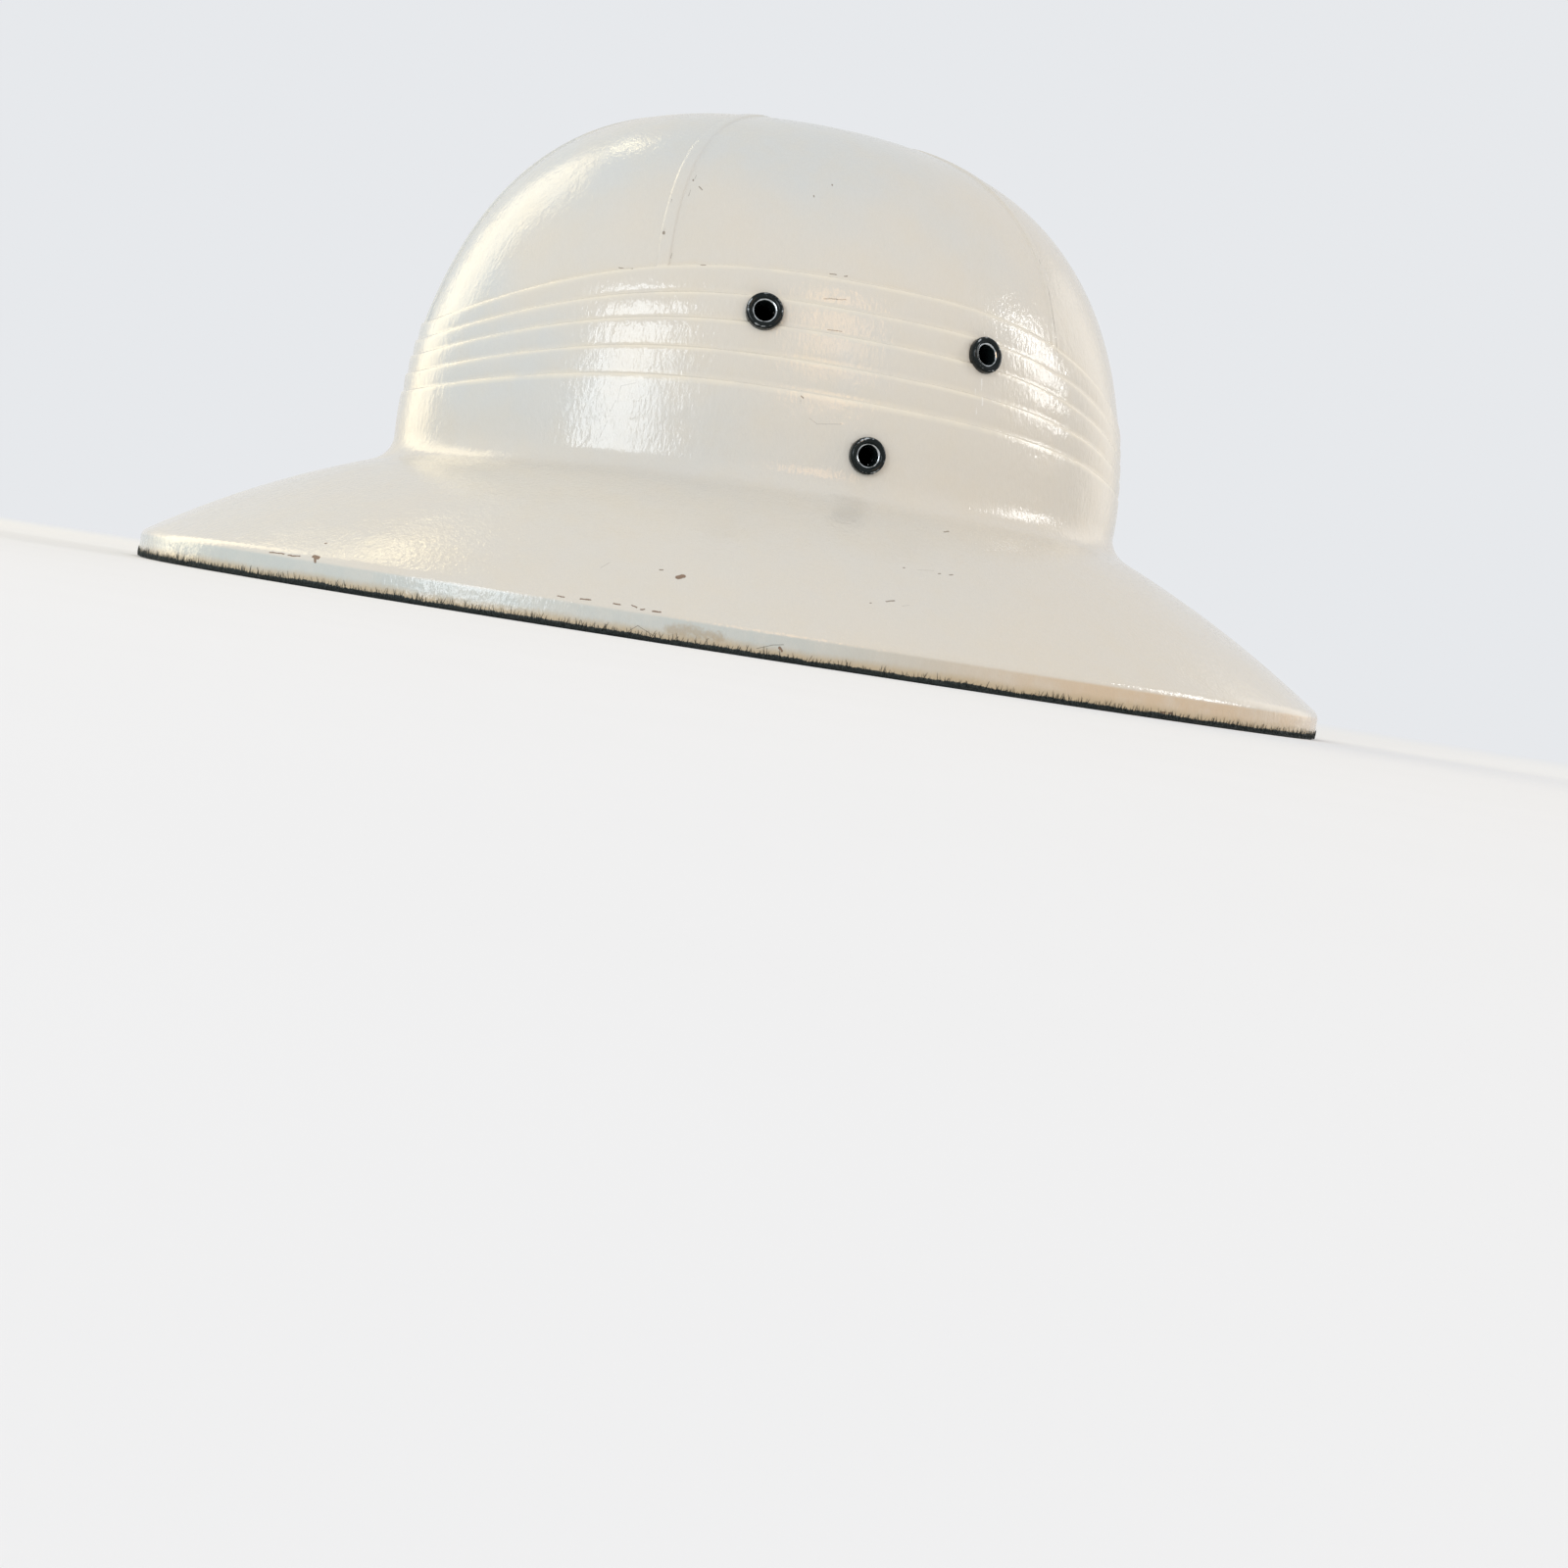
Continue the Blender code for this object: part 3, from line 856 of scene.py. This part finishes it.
def shellPaint(surface):
    looks = paintLooks
    made, tree, shader = newMaterial("shellPaint", {"IOR": 1.5})
    place = objectPlace(tree)
    axes = addNode(tree, "SeparateXYZ", {"Vector": place}).outputs

    # warm cream that drifts at random to a cooler grey, most over the front of the crown and up it, where the
    # grey is partly a painted cast of cool window light; and fine mottling
    rear, front = looks["coolCastAlong"]
    brimTop, crownFoot = looks["coolCastHeights"]
    drift = between(tree, noiseOf(tree, place, looks["driftSize"], 2.0), 0.36, 0.6, 0.2, 1.0)
    coolCastTowardsFront = between(tree, axes["Y"], rear * mm, front * mm, 0.15, 1.0)
    drift = calculate(tree, "MULTIPLY", drift, coolCastTowardsFront)
    coolCastUpTheCrown = between(tree, axes["Z"], brimTop * mm, crownFoot * mm, 0.3, 1.0)
    drift = calculate(tree, "MULTIPLY", drift, coolCastUpTheCrown)
    colour = blendColour(tree, drift, looks["cream"], looks["grey"])
    mottle = noiseOf(tree, place, looks["mottleSize"], 4.0, 0.6)
    colour = blendColour(tree, between(tree, mottle, 0.35, 0.75, 0.0, 0.16), colour, looks["yellowed"])

    # dirt and painted shade at the foot of each ledge
    dirtAndShade = between(tree, mottle, 0.3, 0.7, *looks["dirtAndShade"])
    foot = calculate(tree, "MULTIPLY", attributeOf(tree, "ledgeFoot"), dirtAndShade)
    colour = blendColour(tree, foot, colour, looks["yellowed"])

    # and paler paint along the crest of the ledge under it: a painted highlight where the ledge catches light
    crestHighlightShare = between(tree, mottle, 0.25, 0.6, *looks["crestHighlightShare"])
    crest = calculate(tree, "MULTIPLY", attributeOf(tree, "ledgeCrest"), crestHighlightShare)
    colour = blendColour(tree, crest, colour, looks["crestHighlight"])

    # the lip's face, painted darker than the brim as shade, grey-blue at the front as a painted reflection
    # and tan towards the rear, partly stain; and stained tan along its lower edge
    tall = addNode(tree, "Mapping", {"Vector": place, "Scale": (1.0, 1.0, 0.25)}).outputs["Vector"]
    ragged = calculate(tree, "MULTIPLY", noiseOf(tree, tall, 0.7, 4.0, 0.7), looks["stripRagged"] * mm)
    wander = calculate(tree, "MULTIPLY", noiseOf(tree, place, 11, 2.0), looks["stripWander"] * mm)
    height = calculate(tree, "SUBTRACT", calculate(tree, "SUBTRACT", axes["Z"], ragged), wander)
    lipTop = looks["lipTop"] * mm
    onLip = between(tree, axes["Z"], lipTop, lipTop - looks["lipFade"] * mm)
    blueEnd, tanEnd = looks["lipPaintedLightAndStainFrom"]
    backwards = between(tree, axes["Y"], blueEnd * mm, tanEnd * mm)
    lipPaintedLightAndStain = blendColour(tree, backwards, looks["lipFront"], looks["lipRear"])
    share = calculate(tree, "MULTIPLY", onLip, between(tree, mottle, 0.3, 0.6, 0.6, 0.9))
    colour = blendColour(tree, share, colour, lipPaintedLightAndStain)
    tanTop, tanLow = looks["tanFrom"]
    low = between(tree, height, tanTop * mm, tanLow * mm, 0.0, 0.85)
    colour = blendColour(tree, low, colour, looks["tan"])

    # marks
    chip = None
    for kind, (shows, share, _, _) in markLooks.items():
        mask = markMask(tree, place, kind, surface)
        chip = mask if kind == "chip" else chip
        colour = blendColour(tree, calculate(tree, "MULTIPLY", mask, share), colour, shows)

    # sparse specks in the paint everywhere
    cells = addNode(tree, "TexVoronoi", {"Vector": place, "Scale": 1 / (looks["speckSpacing"] * mm)})
    chosen = addNode(tree, "SeparateColor", {"Color": cells.outputs["Color"]}).outputs["Red"]
    dotSize = between(tree, chosen, 0.72, 1.0, 0.0, 0.034)
    past = calculate(tree, "SUBTRACT", cells.outputs["Distance"], dotSize)
    dot = between(tree, past, 0.006, -0.006, 0.0, looks["speckShare"])
    colour = blendColour(tree, dot, colour, markLooks["speck"][0])

    # the dark lining laps round the lower edge
    middle = looks["stripHeight"] - (looks["stripRagged"] + looks["stripWander"]) / 2 + 0.3
    strip = between(tree, height, (middle + 0.12) * mm, (middle - 0.12) * mm)
    colour = blendColour(tree, strip, colour, liningLooks["colour"])
    tree.links.new(colour, shader.inputs["Base Color"])

    rough = between(tree, noiseOf(tree, place, 22, 4.0, 0.65), 0.35, 0.75, looks["roughness"], looks["worn"])
    bare = calculate(tree, "MULTIPLY", calculate(tree, "MAXIMUM", strip, chip), looks["stripRough"])
    rough = calculate(tree, "MAXIMUM", rough, bare)
    tree.links.new(rough, shader.inputs["Roughness"])

    # orange peel, a little drawn downwards, with the longer ripples of poured paint under it
    drawn = addNode(tree, "Mapping", {"Vector": place, "Scale": (1.0, 1.0, 0.5)}).outputs["Vector"]
    size, depth = looks["poured"]
    normal = bumpFrom(tree, noiseOf(tree, place, size, 1.0), depth)
    size, depth = looks["peel"]
    normal = bumpFrom(tree, noiseOf(tree, drawn, size, 2.0, 0.6), depth, normal)
    normal = bumpFrom(tree, calculate(tree, "SUBTRACT", 1.0, chip), looks["chipDepth"], normal)
    tree.links.new(normal, shader.inputs["Normal"])
    return made


# the dark green inside
liningLooks = {
    "colour": (0.012, 0.019, 0.017),
    "pale": (0.030, 0.040, 0.038),
    "roughness": (0.28, 0.45),
    "grain": (1.6, 0.16),       # size and depth
}


def liningPaint():
    made, tree, shader = newMaterial("liningPaint", {"IOR": 1.5})
    place = objectPlace(tree)
    patch = between(tree, noiseOf(tree, place, 18, 4.0), 0.4, 0.7)
    colour = blendColour(tree, patch, liningLooks["colour"], liningLooks["pale"])
    tree.links.new(colour, shader.inputs["Base Color"])
    rough = between(tree, noiseOf(tree, place, 8, 4.0), 0.3, 0.7, *liningLooks["roughness"])
    tree.links.new(rough, shader.inputs["Roughness"])
    size, depth = liningLooks["grain"]
    normal = bumpFrom(tree, noiseOf(tree, place, size, 4.0, 0.6), depth)
    tree.links.new(normal, shader.inputs["Normal"])
    return made


# dark enamel worn off in patches to bare metal, whose pale ring and arcs are partly painted reflections
enamelLooks = {
    "enamel": (0.006, 0.009, 0.009),
    "metal": (0.50, 0.53, 0.54),
    "gloss": 0.16,
    "roughness": 0.10,
    "patchSize": 1.9,
    "patchy": 2.2,              # how much the patches count beside the worn places
    "wornAndSheenFrom": (1.45, 1.85),
}


def eyeletEnamel():
    made, tree, shader = newMaterial("eyeletEnamel", {
        "IOR": 1.5, "Specular IOR Level": enamelLooks["gloss"], "Roughness": enamelLooks["roughness"]})
    place = objectPlace(tree)
    clouds = noiseOf(tree, place, enamelLooks["patchSize"], 4.0, 0.6)
    clouds = calculate(tree, "MULTIPLY", clouds, enamelLooks["patchy"])
    patchy = calculate(tree, "ADD", attributeOf(tree, "worn"), clouds)
    # pale bare metal where worn, partly a painted reflection
    worn = between(tree, patchy, *enamelLooks["wornAndSheenFrom"])
    colour = blendColour(tree, worn, enamelLooks["enamel"], enamelLooks["metal"])
    tree.links.new(colour, shader.inputs["Base Color"])
    tree.links.new(calculate(tree, "MULTIPLY", worn, 0.9), shader.inputs["Metallic"])
    tree.links.new(bumpFrom(tree, noiseOf(tree, place, 0.5, 3.0), 0.012), shader.inputs["Normal"])
    return made


# the camera that saw the real one, from a little below: millimetres, degrees and pixels
photoView = {
    "azimuth": 70.4806,
    "elevation": -3.0634,
    "roll": 8.9319,
    "distance": 750.56,
    "target": (5.67, 18.99, -37.61),
    "focal": 2663.2,            # pixels
    "imageSize": 1600,
}
# the same view lifted over the floor, with the helmet's middle at the same place in the image
camera = {
    "height": 8.0,
    "keeps": (0.0, 0.0, 60.0),
    "sensor": 36.0,
}


def viewFrame(azimuth, elevation, roll):
    # the view's right, up and back directions
    a, e, r = radians(azimuth), radians(elevation), radians(roll)
    back = Vector((sin(a) * cos(e), -cos(a) * cos(e), sin(e)))
    level = Vector((cos(a), sin(a), 0))
    upright = back.cross(level)
    return level * cos(r) + upright * sin(r), upright * cos(r) - level * sin(r), back


def photoCamera():
    right, up, back = viewFrame(photoView["azimuth"], photoView["elevation"], photoView["roll"])
    return Vector(photoView["target"]) + back * photoView["distance"], right, up, back


def photoRay(x, y):
    # where a pixel of the real image looks from and to
    place, right, up, back = photoCamera()
    middle = photoView["imageSize"] / 2
    return place, (right * (x - middle) + up * (middle - y) - back * photoView["focal"]).normalized()


def liftedCamera():
    place = photoCamera()[0]
    keeps = Vector(camera["keeps"])
    reach = hypot(keeps.x - place.x, keeps.y - place.y)
    lifted = Vector((place.x, place.y, camera["height"]))
    turn = atan((keeps.z - place.z) / reach) - atan((keeps.z - lifted.z) / reach)
    elevation = photoView["elevation"] + turn * 180 / pi
    return lifted, viewFrame(photoView["azimuth"], elevation, photoView["roll"])


def makeCamera():
    place, (right, up, back) = liftedCamera()
    data = bpy.data.cameras.new("camera")
    data.sensor_width = camera["sensor"]
    data.lens = photoView["focal"] / photoView["imageSize"] * camera["sensor"]
    data.clip_start = 0.005
    made = bpy.data.objects.new("camera", data)
    turn = Matrix((right, up, back)).transposed().to_4x4()
    made.matrix_world = Matrix.Translation(place * mm) @ turn
    bpy.context.scene.collection.objects.link(made)
    bpy.context.scene.camera = made


# each lamp stands where the shell mirrors it at a pixel of the real image
lamps = (
    # name, pixel that glints, distance, width, height in metres, brightness, colour
    ("window", (642, 372), 1.5, 0.60, 0.95, 6.5, (0.86, 0.93, 1.0)),
    ("doorway", (1056, 352), 1.6, 0.30, 0.62, 10.0, (1.0, 1.0, 1.0)),
    ("lampshade", (484, 288), 1.5, 0.72, 1.6, 2.6, (1.0, 0.84, 0.52)),
    ("bulb", (420, 490), 1.4, 0.16, 0.13, 6.0, (1.0, 0.86, 0.50)),
    ("wallLight", (852, 352), 1.9, 0.38, 0.62, 4.2, (1.0, 0.56, 0.22)),
    ("rearWall", (1116, 400), 1.8, 0.90, 1.20, 0.75, (1.0, 0.90, 0.76)),
)
# pixels round a glint, over which the shell's slope is averaged
glintSamples = ((0, 0), (14, 0), (-14, 0), (0, 14), (0, -14), (7, 20), (-7, -20))

surroundings = {
    "sky": (0.95, 0.97, 1.0),
    "strength": 0.84,
    "floorColour": (0.76, 0.76, 0.76),
    "floorGrey": (0.6, 0.6, 0.59),
    "floorGrain": 0.03,
    "floorReach": 6.0,          # metres
    "fadeFrom": 0.35,           # from here out the floor turns into the sky's own light
    "fadeTo": 1.3,
}


def makeLamps(surface):
    eye = liftedCamera()[0] * mm
    for name, (x, y), distance, width, height, brightness, colour in lamps:
        hits = []
        for across, along in glintSamples:
            place, towards = photoRay(x + across, y + along)
            hit, normal, _, _ = surface.ray_cast(place * mm, towards)
            if hit:
                hits.append((hit, normal))
        spot = hits[0][0]
        normal = sum((found for _, found in hits), Vector()).normalized()
        looking = (spot - eye).normalized()
        mirrored = looking - normal * 2 * looking.dot(normal)
        data = bpy.data.lights.new(name, "AREA")
        data.shape = "RECTANGLE"
        data.size, data.size_y = width, height
        data.energy = brightness * pi * width * height
        data.color = colour
        made = bpy.data.objects.new(name, data)
        made.location = spot + mirrored * distance
        made.rotation_mode = "QUATERNION"
        made.rotation_quaternion = (-mirrored).to_track_quat("-Z", "Y")
        made.visible_camera = False
        bpy.context.scene.collection.objects.link(made)
        print("lamp", name, [round(value, 2) for value in made.location])


def floorPaper():
    # pale paper that turns into the sky's own light towards its border, so that no horizon shows
    made, tree, shader = newMaterial("floorPaper", {"Roughness": 0.9, "Specular IOR Level": 0.0,
                                                    "Emission Color": (*surroundings["sky"], 1)})
    away = addNode(tree, "VectorMath", {0: objectPlace(tree)}, operation="LENGTH").outputs["Value"]
    fade = between(tree, away, surroundings["fadeFrom"], surroundings["fadeTo"])
    cloud = noiseOf(tree, objectPlace(tree), 40, 4.0)
    grain = between(tree, cloud, 0.3, 0.7, 0.0, surroundings["floorGrain"])
    paper = blendColour(tree, grain, surroundings["floorColour"], surroundings["floorGrey"])
    tree.links.new(blendColour(tree, fade, paper, (0.0, 0.0, 0.0)), shader.inputs["Base Color"])
    glow = calculate(tree, "MULTIPLY", fade, surroundings["strength"])
    tree.links.new(glow, shader.inputs["Emission Strength"])
    return made


def makeFloor():
    bm = bmesh.new()
    bmesh.ops.create_circle(bm, cap_ends=True, segments=96, radius=surroundings["floorReach"])
    mesh = bpy.data.meshes.new("floor")
    bm.to_mesh(mesh)
    bm.free()
    mesh.materials.append(floorPaper())
    made = bpy.data.objects.new("floor", mesh)
    bpy.context.scene.collection.objects.link(made)


def makeSky():
    world = bpy.data.worlds.new("sky")
    world.use_nodes = True
    light = world.node_tree.nodes["Background"]
    light.inputs["Color"].default_value = (*surroundings["sky"], 1)
    light.inputs["Strength"].default_value = surroundings["strength"]
    bpy.context.scene.world = world
    bpy.context.scene.view_settings.view_transform = "Standard"


print("camera and floor")
makeCamera()
makeFloor()
makeSky()

print("shell")
helmetShell = makeShell()
surface = BVHTree.FromObject(helmetShell, bpy.context.evaluated_depsgraph_get())
lining = liningPaint()
for material in (shellPaint(surface), lining):
    helmetShell.data.materials.append(material)
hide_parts("shell")

print("eyelets")
enamel = eyeletEnamel()
holes = [
    makeEyelet(f"eyelet_{side}_{place}", place, mirror, enamel)
    for side, mirror in (("left", 1), ("right", -1))
    for place in eyelet["places"]
]
drillHoles(helmetShell, holes)

print("lip fibres")
makeBristles(lining)

print("lamps")
makeLamps(surface)
